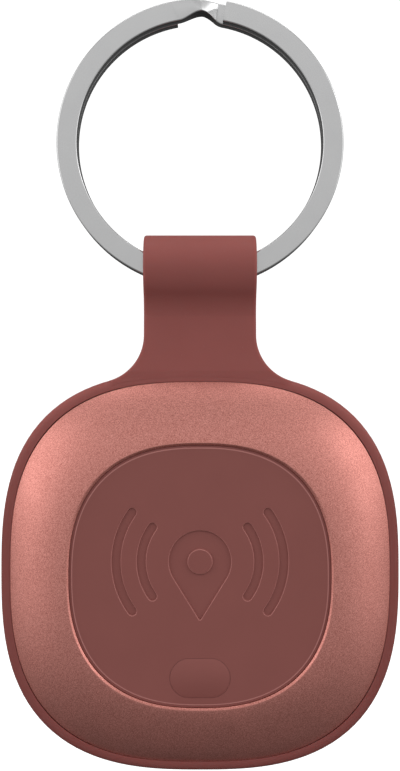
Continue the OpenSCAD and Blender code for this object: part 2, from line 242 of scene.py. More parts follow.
class Shader:  # a Principled material under construction, with its pattern in Object coordinates
    def __init__(self, name, colour, roughness, **uniform):
        self.material = bpy.data.materials.new(name)
        self.material.use_nodes = True
        self.tree = self.material.node_tree
        self.bsdf = self.tree.nodes["Principled BSDF"]
        self.place = self.tree.nodes.new("ShaderNodeTexCoord").outputs["Object"]
        self.bsdf.inputs["Base Color"].default_value = (*colour, 1)
        self.bsdf.inputs["Roughness"].default_value = roughness
        for socket, value in uniform.items():
            self.bsdf.inputs[socket.replace("_", " ")].default_value = value

    def node(self, kind, links=(), **settings):
        made = self.tree.nodes.new("ShaderNode" + kind)
        for key, value in settings.items():
            setattr(made, key, value)
        for socket, value in dict(links).items():
            if isinstance(value, bpy.types.NodeSocket):
                self.tree.links.new(value, made.inputs[socket])
            else:
                made.inputs[socket].default_value = value
        return made

    def noise(self, size, detail=2.0, place=None, roughness=0.5):  # size of a blob in mm
        links = {"Vector": place or self.place, "Scale": 1 / (size * mm), "Detail": detail}
        return self.node("TexNoise", {**links, "Roughness": roughness}).outputs["Fac"]

    def cells(self, size, feature="F1"):
        links = {"Vector": self.place, "Scale": 1 / (size * mm)}
        return self.node("TexVoronoi", links, feature=feature).outputs["Distance"]

    def span(self, value, fromLow, fromHigh, toLow, toHigh):
        ends = {"Value": value, "From Min": fromLow, "From Max": fromHigh}
        return self.node("MapRange", {**ends, "To Min": toLow, "To Max": toHigh}).outputs["Result"]

    def mix(self, factor, first, second, blend="MIX"):
        made = self.node("Mix", data_type="RGBA", blend_type=blend)
        for index, value in ((0, factor), (6, first), (7, second)):
            if isinstance(value, bpy.types.NodeSocket):
                self.tree.links.new(value, made.inputs[index])
            else:
                made.inputs[index].default_value = value if index == 0 else (*value, 1)
        return made.outputs[2]

    def maths(self, operation, first, second=0.0):
        return self.node("Math", {0: first, 1: second}, operation=operation).outputs[0]

    def squareSize(self, power, drop=0):  # size of the rounded square through each point, and its height
        parts = self.node("SeparateXYZ", {"Vector": self.place}).outputs
        across = self.maths("ABSOLUTE", self.maths("DIVIDE", parts["X"], mm))
        height = self.maths("DIVIDE", self.maths("SUBTRACT", parts["Z"], puckZ - drop * mm), mm)
        along = self.maths("POWER", self.maths("ABSOLUTE", height), power)
        total = self.maths("ADD", self.maths("POWER", across, power), along)
        return self.maths("POWER", total, 1 / power), height

    def colour(self, value):
        self.tree.links.new(value, self.bsdf.inputs["Base Color"])

    def roughness(self, value):
        self.tree.links.new(value, self.bsdf.inputs["Roughness"])

    def bump(self, height, depth, strength=1.0):  # depth in mm
        links = {"Height": height, "Distance": depth * mm, "Strength": strength}
        normal = self.node("Bump", links).outputs["Normal"]
        self.tree.links.new(normal, self.bsdf.inputs["Normal"])


def steelMaterial():
    look = {"dark": (0.60, 0.60, 0.605), "light": (0.67, 0.67, 0.67), "grain": 0.09, "scratch": 0.004}
    s = Shader("ringSteel", look["dark"], 0.2, Metallic=1.0)
    centred = s.node("Mapping", {"Vector": s.place, "Location": (0, 0, -ringZ)}).outputs["Vector"]
    flat = s.node("VectorMath", {0: centred, 1: (1, 0, 1)}, operation="MULTIPLY").outputs["Vector"]
    radius = s.node("VectorMath", {0: flat}, operation="LENGTH").outputs["Value"]
    lines = s.node("CombineXYZ", {"X": radius}).outputs["Vector"]  # brushing runs round the ring
    brushed = s.noise(look["grain"], 3, lines)
    smudge = s.noise(2.2, 3)
    s.roughness(s.span(s.maths("ADD", brushed, smudge), 0.6, 1.4, 0.16, 0.30))
    s.colour(s.mix(smudge, look["dark"], look["light"]))
    s.bump(brushed, look["scratch"], 0.5)
    return s.material


def siliconeMaterial():
    look = {
        "deep": (0.325, 0.103, 0.093),
        "light": (0.363, 0.117, 0.106),
        # painted shade for the body's rim
        "rim": (0.262, 0.080, 0.072),
        "dust": (0.55, 0.36, 0.32),
        "rimPower": 2.74,  # as the body's outline
        "grain": 0.07,
    }
    s = Shader("silicone", look["deep"], 0.5, Specular_IOR_Level=0.07, Subsurface_Weight=0.4)
    s.bsdf.inputs["Subsurface Radius"].default_value = (1, 0.4, 0.35)
    s.bsdf.inputs["Subsurface Scale"].default_value = 0.9 * mm
    cloud = s.noise(4.5, 3)
    grain = s.noise(look["grain"], 2)
    dust = s.span(s.noise(0.16, 1), 0.72, 0.80, 0.0, 0.10)  # a few fine specks of dust
    tone = s.mix(cloud, look["deep"], look["light"])
    size, height = s.squareSize(look["rimPower"])  # painted shade: the body's rim, which faces sideways and down, is coloured darker than the strap
    rim = s.maths("MULTIPLY", s.span(size, 18.3, 19.2, 0.0, 1.0), s.span(height, 6.0, 15.0, 1.0, 0.0))
    tone = s.mix(rim, tone, look["rim"])
    s.colour(s.mix(dust, tone, look["dust"]))
    s.roughness(s.span(s.maths("ADD", cloud, grain), 0.6, 1.4, 0.50, 0.62))
    s.bump(grain, 0.006, 0.6)
    return s.material


def pinkMetalMaterial():
    look = {"deep": (0.47, 0.158, 0.130), "light": (0.82, 0.365, 0.312), "grain": 0.10}
    s = Shader("pinkMetal", look["deep"], 0.42, Metallic=1.0)
    blast = s.noise(look["grain"], 3, roughness=0.65)
    fine = s.noise(look["grain"] / 2.2, 1)
    # lighter specks of the bead-blast grain in the colour: partly real grain tone, partly painted glints
    grainAndGlint = s.span(s.maths("ADD", blast, s.maths("MULTIPLY", fine, 0.5)), 0.58, 0.92, 0.0, 1.0)
    s.colour(s.mix(grainAndGlint, look["deep"], look["light"]))
    s.roughness(s.span(s.noise(3.0, 2), 0.3, 0.7, 0.40, 0.47))
    s.bump(blast, 0.010, 0.55)
    return s.material


def softTouchMaterial(name, deep, light, roughness=0.55, paintedLineAt=None):
    s = Shader(name, deep, roughness, Specular_IOR_Level=0.35)
    cloud = s.noise(3.5, 3)
    grain = s.noise(0.055, 2)
    both = s.maths("ADD", s.maths("MULTIPLY", cloud, 0.7), s.maths("MULTIPLY", grain, 0.3))
    tone = s.mix(both, deep, light)
    if paintedLineAt:  # a painted highlight: a lighter line along the plate's edge
        size = s.squareSize(plateSpec["power"], trimSpec["holeDrop"])[0]
        away = s.maths("ABSOLUTE", s.maths("SUBTRACT", size, paintedLineAt))
        tone = s.mix(s.span(away, 0.036, 0.084, 1.0, 0.0), tone, plateSpec["paintedHighlightTone"])
    s.colour(tone)
    s.roughness(s.span(grain, 0.3, 0.7, roughness - 0.05, roughness + 0.06))
    s.bump(grain, 0.005, 0.6)
    return s.material


def blackPlasticMaterial():
    s = Shader("innerPlastic", (0.045, 0.045, 0.05), 0.5)
    sparks = s.cells(0.25)
    s.colour(s.mix(s.noise(1.5, 3), (0.035, 0.035, 0.039), (0.062, 0.062, 0.068)))
    s.roughness(s.span(s.noise(0.8), 0.3, 0.7, 0.42, 0.58))
    s.bump(sparks, 0.012, 0.5)
    return s.material


def rubberMaterial():
    s = Shader("sealRubber", (0.03, 0.03, 0.033), 0.6)
    s.colour(s.mix(s.noise(0.6, 3), (0.022, 0.022, 0.025), (0.048, 0.048, 0.052)))
    s.roughness(s.span(s.noise(0.3), 0.3, 0.7, 0.52, 0.70))
    s.bump(s.noise(0.06), 0.006, 0.5)
    return s.material


def foamMaterial():
    s = Shader("foam", (0.10, 0.10, 0.105), 0.9)
    pores = s.cells(0.22)
    # painted shade: the pores are coloured darker than the foam between them
    s.colour(s.mix(s.span(pores, 0.1, 0.6, 0.0, 1.0), (0.035, 0.035, 0.038), (0.13, 0.13, 0.135)))
    s.roughness(s.span(pores, 0.0, 0.6, 0.95, 0.8))
    s.bump(pores, 0.05, 0.8)
    return s.material


def brushedMaterial(name, dark, light, axis=(1, 0, 0.06), rough=(0.22, 0.36)):
    s = Shader(name, dark, rough[0], Metallic=1.0)
    stretched = s.node("VectorMath", {0: s.place, 1: axis}, operation="MULTIPLY").outputs["Vector"]
    lines = s.noise(0.07, 2, stretched)
    s.colour(s.mix(s.noise(1.2, 3), dark, light))
    s.roughness(s.span(lines, 0.3, 0.7, *rough))
    s.bump(lines, 0.003, 0.5)
    return s.material


def boardMaterial():
    look = {"mask": (0.012, 0.105, 0.045), "track": (0.03, 0.20, 0.085), "pitch": 0.9}
    s = Shader("board", look["mask"], 0.3, Coat_Weight=0.3)
    parts = s.node("SeparateXYZ", {"Vector": s.place}).outputs
    wander = s.maths("MULTIPLY", s.noise(6, 1), 3.0)
    along = s.maths("ADD", s.maths("DIVIDE", parts["X"], look["pitch"] * mm), wander)
    stripe = s.maths("ABSOLUTE", s.maths("SUBTRACT", s.maths("FRACT", along), 0.5))
    track = s.span(stripe, 0.30, 0.34, 1.0, 0.0)
    s.colour(s.mix(track, look["mask"], look["track"]))
    s.roughness(s.span(s.noise(0.9), 0.3, 0.7, 0.24, 0.36))
    s.bump(track, 0.02, 0.6)
    return s.material


def ceramicMaterial(name, dark, light):
    s = Shader(name, dark, 0.4)
    s.colour(s.mix(s.noise(0.25, 4), dark, light))
    s.roughness(s.span(s.noise(0.5), 0.3, 0.7, 0.34, 0.5))
    s.bump(s.noise(0.09, 3), 0.008, 0.5)
    return s.material


def adhesiveMaterial():
    s = Shader("adhesive", (0.72, 0.66, 0.52), 0.45, Transmission_Weight=0.1)
    s.colour(s.mix(s.noise(1.0, 4), (0.66, 0.58, 0.42), (0.80, 0.75, 0.62)))
    s.roughness(s.span(s.noise(0.4), 0.3, 0.7, 0.35, 0.55))
    s.bump(s.noise(0.3), 0.01, 0.5)
    return s.material


steel = steelMaterial()
silicone = siliconeMaterial()
pinkMetal = pinkMetalMaterial()
buttonFinish = softTouchMaterial("buttonPlastic", (0.262, 0.080, 0.069), (0.299, 0.093, 0.080))
backFinish = softTouchMaterial("backPlastic", (0.165, 0.057, 0.050), (0.20, 0.070, 0.061), 0.48)
blackPlastic = blackPlasticMaterial()
rubber = rubberMaterial()
foam = foamMaterial()
cellSteel = brushedMaterial("cellSteel", (0.55, 0.55, 0.555), (0.66, 0.66, 0.66))
canMetal = brushedMaterial("canMetal", (0.50, 0.49, 0.47), (0.62, 0.61, 0.58), (0.2, 1, 1))
screwSteel = brushedMaterial("screwSteel", (0.42, 0.42, 0.43), (0.55, 0.55, 0.56), (1, 0.3, 1))
brass = brushedMaterial("brass", (0.66, 0.44, 0.16), (0.76, 0.55, 0.25))
gold = brushedMaterial("goldPlate", (0.78, 0.53, 0.18), (0.86, 0.64, 0.28), (0.5, 1, 1), (0.16, 0.28))
boardFinish = boardMaterial()
chipFinish = ceramicMaterial("chipBlack", (0.016, 0.016, 0.018), (0.035, 0.035, 0.038))
plungerFinish = ceramicMaterial("plungerBlack", (0.020, 0.020, 0.022), (0.045, 0.045, 0.050))
whiteCeramic = ceramicMaterial("ceramic", (0.66, 0.67, 0.62), (0.80, 0.81, 0.78))
tanCeramic = ceramicMaterial("ceramicTan", (0.30, 0.20, 0.12), (0.46, 0.34, 0.23))
adhesive = adhesiveMaterial()
print("materials ready")


# Split ring: one flat wire in two coils, with a step between them.

ringSpec = {
    "band": 2.0,
    "coil": 1.28,
    "gap": 0.04,
    "corner": 0.15,
    "outer": 14.05,
    "frontCut": 79.3,  # angles in degrees, from +X towards the top
    "rearCut": 100.4,
    "stepStart": 100.0,  # the wire passes from the front coil to the rear one between these
    "bendOuter": 92.2,
    "bendInner": 88.8,
    "bendEnd": 82.5,
    "narrowest": 88.5,  # where the wire's inner side is pinched most
    "pinchFront": 0.85,
    "pinchRear": 0.50,
}


def spinOn(bm, geom, back, fineness):  # clockwise, in degrees
    known = set(bm.verts)
    made = bmesh.ops.spin(
        bm, geom=geom, cent=(0, 0, 0), axis=(0, 0, 1), angle=-radians(back),
        steps=max(1, round(back / fineness)), use_merge=False)
    return made["geom_last"], [v for v in bm.verts if v not in known]


def softRamp(part, ease=0.12):  # 0 to 1 on a straight slope with rounded ends
    if part <= -ease or part >= 1 + ease:
        return float(part > 0.5)
    if part < ease:
        return (part + ease) ** 2 / (4 * ease)
    if part > 1 - ease:
        return 1 - (1 + ease - part) ** 2 / (4 * ease)
    return part


def stepWire(v, reach, lift):
    spec = ringSpec
    angle = degrees(atan2(v.co.y, v.co.x))
    inward = (spec["outer"] - reach) / spec["band"]
    bend = spec["bendOuter"] + (spec["bendInner"] - spec["bendOuter"]) * inward
    drop = softRamp((bend - angle) / (bend - spec["bendEnd"]))
    far = spec["stepStart"] if angle > spec["narrowest"] else spec["frontCut"]
    away = min(1, abs((angle - spec["narrowest"]) / (far - spec["narrowest"])))
    front = lift / spec["coil"] + 0.5
    pinch = spec["pinchRear"] + (spec["pinchFront"] - spec["pinchRear"]) * front
    reach += pinch * inward * cos(away * pi / 2) ** 2
    mid = (spec["coil"] + spec["gap"]) / 2
    v.co = (reach * cos(radians(angle)), reach * sin(radians(angle)), lift + mid * (1 - 2 * drop))


def makeSplitRing():
    spec = ringSpec
    mid = (spec["coil"] + spec["gap"]) / 2
    bm = bmesh.new()
    reachOf = bm.verts.layers.float.new("reach")
    liftOf = bm.verts.layers.float.new("lift")
    bmesh.ops.create_grid(bm, x_segments=1, y_segments=1, size=0.5)
    bmesh.ops.scale(bm, vec=(spec["band"], spec["coil"], 1), verts=bm.verts)
    bmesh.ops.bevel(
        bm, geom=list(bm.verts), offset=spec["corner"], affect="VERTICES", segments=4, profile=0.5,
        material=-1)
    wireR = spec["outer"] - spec["band"] / 2
    for v in bm.verts:
        v[reachOf] = wireR + v.co.x
        v[liftOf] = v.co.y
    upright = Matrix.Translation((wireR, 0, mid)) @ Matrix.Rotation(pi / 2, 4, "X")
    bmesh.ops.transform(bm, matrix=upright, verts=bm.verts)
    first = Matrix.Rotation(radians(spec["frontCut"]), 3, "Z")
    bmesh.ops.rotate(bm, cent=(0, 0, 0), matrix=first, verts=bm.verts)
    section = list(bm.faces) + list(bm.edges) + list(bm.verts)
    section, fresh = spinOn(bm, section, 360 + spec["frontCut"] - spec["stepStart"], 2)
    section, fresh = spinOn(bm, section, spec["stepStart"] - spec["frontCut"], 0.45)
    for v in fresh:
        stepWire(v, v[reachOf], v[liftOf])
    spinOn(bm, section, 360 + spec["frontCut"] - spec["rearCut"], 2)
    bmesh.ops.holes_fill(bm, edges=[e for e in bm.edges if e.is_boundary], sides=0)
    return makePiece(bm, "splitRing", steel, ["split_ring"], ringZ, sharp=40)


# Silicone holder: rim, strap and loop in one moulding.

holderSpec = {
    "half": 19.43,
    "rim": 1.9,  # depth of the rim's front edge
    "pocket": 18.47,
    "floor": 1.05,
    "outerEdge": 0.65,
    "innerEdge": 0.05,
    "backEdge": 0.7,
    "power": 2.74,
    "strapHalf": 5.5,
    "strapFront": 1.1,
    "strapBack": -1.4,
    "tunnel": 2.35,
    "loop": 3.3,
    "hollow": 3.0,  # between loop and strap
    "flare": 4.6,  # between strap and body
    "flareTurn": 74.2,
    "flareRows": 18,
    "strapEdge": 0.26,
}


def holderRim():
    spec = holderSpec
    half, pocket = spec["half"], spec["pocket"]
    back = depthsOf("holder")[0]
    window = coverR + 1

    def power(size):
        share = min(1, max(0, (size - window) / (pocket - window)))
        return 2 + (spec["power"] - 2) * share

    section = rounded([
        (half, spec["rim"], spec["outerEdge"]),
        (half, back, spec["backEdge"]),
        (window, back, 0.3),
        (window, back + spec["floor"], 0.2),
        (pocket, back + spec["floor"], 0.25),
        (pocket, spec["rim"], spec["innerEdge"]),
    ], steps=5)
    return loft(section, squareShape(power), 144)


def strapSolid():
    spec = holderSpec
    strapW = 2 * spec["strapHalf"]
    loopY = (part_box("holder")[1].z - puckZ) / mm - spec["loop"]
    reach = spec["loop"] + spec["hollow"]
    frontX, backX = spec["strapFront"], spec["strapBack"]
    # the side view is drawn with depth to the right and height up, about the tunnel's axis
    frontC = Vector((frontX + spec["hollow"], 0))
    frontC.y = -sqrt(reach ** 2 - frontC.x ** 2)
    backC = Vector((backX - spec["hollow"], 0))
    backC.y = -sqrt(reach ** 2 - backC.x ** 2)
    frontA = atan2(-frontC.y, -frontC.x)
    backA = atan2(-backC.y, -backC.x)
    holderTop = spec["half"] - loopY  # the body's top edge, from the tunnel's axis
    side = arcPoints((0, 0), spec["loop"], frontA - pi, backA + pi, 56)
    side += arcPoints(backC, spec["hollow"], backA, 0, 12)
    side += [  # the strap's back runs out over the body's top edge, and its root is inside the body
        Vector((backX - 0.15, holderTop + 2.2)),
        Vector((backX - 0.55, holderTop + 0.9)),
        Vector((backX - 1.2, holderTop + 0.1)),
        Vector((backX - 1.7, holderTop - 2.5)),
        Vector((spec["rim"] - 0.004, holderTop - 2.5)),
        Vector((spec["rim"] - 0.004, holderTop + 0.1)),
    ]
    side += arcPoints(frontC, spec["hollow"], pi, frontA, 12)
    bm = bmesh.new()
    tunnel = arcPoints((0, 0), spec["tunnel"], 0, 2 * pi, 64)[:-1]
    for points in (side, tunnel):
        verts = [bm.verts.new((-strapW / 2, p.y, p.x)) for p in points]
        for k in range(len(verts)):
            bm.edges.new((verts[k - 1], verts[k]))
    bmesh.ops.remove_doubles(bm, verts=bm.verts, dist=1e-4)
    bmesh.ops.triangle_fill(bm, use_beauty=True, use_dissolve=False, edges=list(bm.edges))
    made = bmesh.ops.extrude_face_region(bm, geom=list(bm.faces), use_keep_orig=True)["geom"]
    farSide = [g for g in made if isinstance(g, bmesh.types.BMVert)]
    bmesh.ops.translate(bm, verts=farSide, vec=(strapW, 0, 0))
    bmesh.ops.recalc_face_normals(bm, faces=bm.faces)
    bmesh.ops.translate(bm, verts=bm.verts, vec=(0, loopY, 0))
    ends = [e for e in bm.edges if sum(abs(f.normal.x) > 0.9 for f in e.link_faces) == 1]
    bmesh.ops.bevel(
        bm, geom=ends, offset=spec["strapEdge"], affect="EDGES", segments=4, profile=0.5, material=-1)
    flareStrap(bm)
    return bm


def bodyEdge(x):  # height of the body's outline above its middle
    half, power = holderSpec["half"], holderSpec["power"]
    return (half ** power - x ** power) ** (1 / power)


def flareStrap(bm):  # the strap widens on two hollow curves that run into the body's outline
    spec = holderSpec
    half, r, turn = spec["strapHalf"], spec["flare"], radians(spec["flareTurn"])
    foot = bodyEdge(half + r * (1 - cos(turn)))
    top = foot + r * sin(turn)
    for k in range(spec["flareRows"] + 1):
        y = top - r * sin(turn * k / spec["flareRows"])
        bmesh.ops.bisect_plane(
            bm, geom=list(bm.faces) + list(bm.edges) + list(bm.verts), plane_co=(0, y, 0),
            plane_no=(0, 1, 0), dist=1e-5)
    for v in bm.verts:
        if v.co.y < top:
            drop = min(top - v.co.y, r * sin(turn))
            v.co.x *= (half + r - sqrt(r ** 2 - drop ** 2)) / half


def makeHolder():
    spec = holderSpec
    inner = spec["half"] - 0.5
    core = loft([(inner, -20), (inner, 20)], squareShape(spec["power"]), 144, closed=False)
    strap = combine(strapSolid(), core)
    bm = combine(holderRim(), strap, "UNION")
    bmesh.ops.dissolve_degenerate(bm, dist=1e-4, edges=bm.edges)
    return makePiece(bm, "holder", silicone, ["holder"], puckZ, sharp=35)


# Metal trim ring: a dome that rolls off to the rim, with a bright inner bevel.

trimSpec = {
    "power": 2.7,
    "holePower": 2.45,
    "hole": 12.52,
    "holeDrop": 0.09,
    "crest": 12.71,
    "bevelDrop": 0.17,
    "edge": 1.90,  # depth where the dome starts
    "crestSlope": 8.5,
    "rows": 28,
    "under": 3.25,  # depth of its underside by the hole
    "underEdge": 15.4,
    "wall": 17.4,  # inner side of its outer wall
    "wallTop": 1.6,
}


trimOuter = widthOf("trim_ring") / 2


def trimShape(turn, size):  # from the hole's rounded square to the outer one, which sits a little higher
    spec = trimSpec
    share = min(1, max(0, (size - spec["hole"]) / (trimOuter - spec["hole"])))
    x, y = squareShape(spec["holePower"] + (spec["power"] - spec["holePower"]) * share)(turn, size)
    return x, y - spec["holeDrop"] * (1 - share)


def makeTrimRing():
    spec = trimSpec
    outer = trimOuter
    # the dome is one arc, which starts with crestSlope and drops to the edge
    run, fall = outer - spec["crest"], trimFront - spec["edge"]
    first = radians(spec["crestSlope"])
    last = 2 * atan2(fall, run) - first
    r = run / (sin(last) - sin(first))
    dome = []
    for k in range(spec["rows"] + 1):
        t = last + (first - last) * k / spec["rows"]
        dome.append(Vector((outer - r * (sin(last) - sin(t)), spec["edge"] + r * (cos(t) - cos(last)))))
    lip = rounded([
        (*dome[-2], 0),
        (spec["crest"], trimFront, 0.07),
        (spec["hole"], trimFront - spec["bevelDrop"], 0.04),
        (spec["hole"], spec["under"], 0),
    ], closed=False, steps=3)
    under = rounded([
        (spec["hole"], spec["under"], 0),
        (spec["underEdge"], spec["under"], 0.2),
        (spec["wall"], spec["wallTop"], 0.2),
        (spec["wall"], trimBack, 0.08),
        (outer, trimBack, 0.12),
        (outer, spec["edge"], 0),
    ], closed=False, steps=3)
    section = dome[:-1] + lip[1:] + under[1:-1]
    bm = loft(section, trimShape, 192)
    return makePiece(bm, "trimRing", pinkMetal, ["trim_ring"], puckZ, sharp=30)


# Front plate with its sunk emblem and the button's hole.

buttonY = (middleOf("button").z - puckZ) / mm
plateSpec = {
    "power": 2.45,
    "half": 12.50,
    "lift": 0.10,
    "ledge": 0.20,  # a low ledge runs round the raised plate
    "ledgeDrop": 0.07,
    "edge": 0.065,
    "deep": (0.262, 0.080, 0.069),
    "light": (0.299, 0.093, 0.080),
    # painted highlight colour of the plate's edge line and the emblem's lips
    "paintedHighlightTone": (0.50, 0.205, 0.185),
    "lip": 0.07,
    # painted highlight: the lighter base colour of the emblem's lips
    "paintedLipTone": (0.40, 0.155, 0.138),
    "sink": 0.20,
    "draft": 0.06,
    "pinHead": 3.05,
    "pinMiddle": 1.3,
    "pinTip": -4.6,
    "pinHole": 1.2,
    "waves": (5.6, 8.0),
    "waveWidth": 1.0,
    "waveSpread": 36,
    "emblemFoot": -5,  # the emblem's faces lie above this and inside this radius
    "emblemR": 11,
}


def pinOutline():
    spec = plateSpec
    r, middle, tip = spec["pinHead"], spec["pinMiddle"], spec["pinTip"]
    slope = asin(r / (middle - tip))
    head = arcPoints((0, middle), r, -slope, pi + slope, 40)
    return head + arcPoints((0, tip + 0.5), 0.20, pi + slope, 2 * pi - slope, 6)


def waveOutline(radius, side):
    spec = plateSpec
    half, spread = spec["waveWidth"] / 2, radians(spec["waveSpread"])
    middle = Vector((0, spec["pinMiddle"]))
    top = middle + radius * Vector((cos(spread), sin(spread)))
    foot = middle + radius * Vector((cos(spread), -sin(spread)))
    points = arcPoints(middle, radius + half, -spread, spread, 28)
    points += arcPoints(top, half, spread, spread + pi, 8)[1:-1]
    points += arcPoints(middle, radius - half, spread, -spread, 28)
    points += arcPoints(foot, half, pi - spread, 2 * pi - spread, 8)[1:-1]
    return [Vector((side * p.x, p.y)) for p in points]


def plateShape(turn, size):
    x, y = squareShape(plateSpec["power"])(turn, size)
    return x, y - trimSpec["holeDrop"]


def makeFrontPlate():
    spec = plateSpec
    half, raised = spec["half"], spec["half"] - spec["ledge"]
    # the plate's material paints a highlight line just inside the raised edge
    finish = softTouchMaterial("platePlastic", spec["deep"], spec["light"], paintedLineAt=raised - 0.06)
    top = plateFront + spec["lift"]
    section = rounded([
        (0.6, plateBack, 0),
        (half, plateBack, 0.08),
        (half, top - spec["ledgeDrop"], 0.02),
        (raised, top - spec["ledgeDrop"], 0),
        (raised, top, spec["edge"]),
        (0.6, top, 0),
    ], closed=False, steps=5)
    bm = loft(section, plateShape, 160, closed=False)
    floor = top - spec["sink"]
    outlines = [pinOutline()]
    for side in (-1, 1):
        outlines += [waveOutline(radius, side) for radius in spec["waves"]]
    for outline in outlines:
        bm = combine(bm, sunk(outline, top + 0.01, floor, spec["lip"], spec["draft"]))
    island = rounded([
        (0.05, floor - 0.2, 0),
        (spec["pinHole"] + spec["draft"], floor - 0.2, 0),
        (spec["pinHole"] + spec["draft"], floor, 0),
        (spec["pinHole"], top - spec["lip"], 0),
        (spec["pinHole"] - spec["lip"], top, 0),
        (0.05, top, 0),
    ], closed=False)
    dot = loft(island, roundShapeAt((0, spec["pinMiddle"])), 40, closed=False)
    bm = combine(bm, dot, "UNION")
    gap = buttonSpec["gap"]
    hole = pillShape(buttonSpec["width"] + gap, buttonSpec["height"] + gap, (0, buttonY))
    throat = [(0, plateBack - 1), (0, plateFront + 1)]
    bm = combine(bm, loft(throat, hole, 64, closed=False))
    bm.normal_update()
    # the emblem's 45-degree lip faces get a lighter second material, a painted highlight
    for face in bm.faces:
        middle = face.calc_center_median()
        isSloping = 0.6 < face.normal.z < 0.8  # the lips stand at 45 degrees
        if isSloping and middle.y > spec["emblemFoot"] and middle.length < spec["emblemR"]:
            face.material_index = 1
    piece = makePiece(bm, "frontPlate", finish, ["front_plate"], puckZ, sharp=28)
    # the second material paints the lips lighter: painted highlight
    piece.data.materials.append(softTouchMaterial("plateLipHighlight", spec["paintedLipTone"], spec["paintedHighlightTone"]))
    return piece


# Button: a soft domed pill on a wide foot.

buttonSpec = {
    "width": 5.76,
    "height": 3.74,
    "gap": 0.04,
    "shoulder": 4.43,  # depth where the dome starts
    "crownLift": 0.08,
    "domeRows": 14,
    "domePower": 0.85,
    "flatHalf": 0.06,
    "foot": 0.4,
    "stem": 1.2,
}


def makeButton():
    spec = buttonSpec
    back, front = depthsOf("button")
    front += spec["crownLift"]
    pill = pillShape(spec["width"], spec["height"], (0, buttonY))
    rows = [(0.0, plateBack), (0.0, spec["shoulder"])]
    for k in range(1, spec["domeRows"] + 1):
        t = k / spec["domeRows"]
        inward = (spec["height"] / 2 - spec["flatHalf"]) * t
        rise = (front - spec["shoulder"]) * sin(pi / 2 * t) ** spec["domePower"]
        rows.append((inward, spec["shoulder"] + rise))
    bm = loft(rows, pill, 72, closed=False)
    foot = pillShape(widthOf("button"), spec["height"], (0, buttonY))
    footRows = rounded([
        (0.9, plateBack, 0), (0, plateBack, 0.08), (0, plateBack + spec["foot"], 0.08),
        (0.9, plateBack + spec["foot"], 0)], closed=False)
    bm = combine(bm, loft(footRows, foot, 72, closed=False), "UNION")
    stemRows = rounded([
        (0.1, back, 0), (spec["stem"], back, 0.12), (spec["stem"], plateBack + 0.2, 0),
        (0.1, plateBack + 0.2, 0)], closed=False)
    stem = loft(stemRows, roundShapeAt((0, buttonY)), 40, closed=False)
    bm = combine(bm, stem, "UNION")
    return makePiece(bm, "button", buttonFinish, ["button"], puckZ, sharp=40)


# Battery cover and coin cell.

coverSpec = {
    "edge": 0.28,
    "lift": 0.01,  # the flange stands just off the shell
    "dish": 0.12,
    "dishR": 10.4,
    "spigot": 12.1,
    "wall": 1.2,
    "plug": 1.6,
    "groove": (0.5, 1.2, 0.6),  # start, end and depth of the seal's groove
    "notch": (7.6, 1.6, 0.6),  # width, height and depth of the fingernail notch
}


def makeBatteryCover():
    spec = coverSpec
    back = depthsOf("battery_cover")[0]
    r = widthOf("battery_cover") / 2
    inner = spec["spigot"] - spec["wall"]
    seat = shellBack - spec["lift"]
    grooveStart, grooveEnd, grooveDepth = spec["groove"]
    notchWidth, notchHeight, notchDepth = spec["notch"]
    section = rounded([
        (0.3, back + spec["dish"], 0),
        (spec["dishR"], back + spec["dish"], 0.3),
        (spec["dishR"] + 0.35, back, 0.2),
        (r, back, spec["edge"]),
        (r, seat, 0.1),
        (spec["spigot"], seat, 0.05),
        (spec["spigot"], seat + grooveStart, 0.05),
        (spec["spigot"] - grooveDepth, seat + grooveStart, 0.05),
        (spec["spigot"] - grooveDepth, seat + grooveEnd, 0.05),
        (spec["spigot"], seat + grooveEnd, 0.05),
        (spec["spigot"], seat + spec["plug"], 0.12),
        (inner, seat + spec["plug"], 0.12),
        (inner, seat, 0.15),
        (0.3, seat, 0),
    ], closed=False)
    bm = loft(section, roundShape, 144, closed=False)
    notch = pillShape(notchWidth, notchHeight, (0, -r))
    bm = combine(bm, loft([(0, back - 1), (0, back + notchDepth)], notch, 48, closed=False))
    return makePiece(bm, "batteryCover", backFinish, ["battery_cover"], puckZ, sharp=30)


cellSpec = {"backEdge": 0.35, "frontEdge": 0.25, "plus": (3.4, 0.7), "plusDepth": 0.08, "plusY": 4.5}


def makeCellCan():
    spec = cellSpec
    back, front = depthsOf("cell_can")
    r = widthOf("cell_can") / 2
    seat = depthsOf("cell_cap")[0]
    recess = widthOf("cell_gasket") / 2
    section = rounded([
        (0.3, back, 0), (r, back, spec["backEdge"]), (r, front, spec["frontEdge"]), (recess, front, 0.08),
        (recess, seat, 0.1), (0.3, seat, 0)], closed=False)
    bm = loft(section, roundShape, 128, closed=False)
    long, thin = spec["plus"]
    for width, height in ((long, thin), (thin, long)):  # the plus sign that marks the can's pole
        bar = bmesh.new()
        bmesh.ops.create_cube(bar, size=1)
        bmesh.ops.scale(bar, vec=(width, height, 2 * spec["plusDepth"]), verts=bar.verts)
        bmesh.ops.translate(bar, vec=(0, spec["plusY"], back), verts=bar.verts)
        bm = combine(bm, bar)
    return makePiece(bm, "cellCan", cellSteel, ["cell_can"], puckZ, sharp=30)


# The other pieces are clean copies of the CAD shapes, with small rounded edges.

def refine(node, name, material, edge):
    bm = bmesh.new()
    bm.from_mesh(frame["nodes"][node].data)
    bmesh.ops.remove_doubles(bm, verts=bm.verts, dist=2e-7)
    bmesh.ops.dissolve_limit(bm, angle_limit=radians(0.6), verts=bm.verts, edges=bm.edges)
    whole = bm.copy()
    sharp = [e for e in bm.edges if e.is_manifold and e.calc_face_angle(0) > radians(35)]
    bmesh.ops.bevel(
        bm, geom=sharp, offset=edge * mm, affect="EDGES", segments=2, profile=0.5, material=-1,
        clamp_overlap=True)
    if len(openEdges(bm)) > len(openEdges(whole)):
        print("edges kept sharp on", name)
        bm.free()
        bm = whole
    else:
        whole.free()
    return makePiece(bm, name, material, [node])


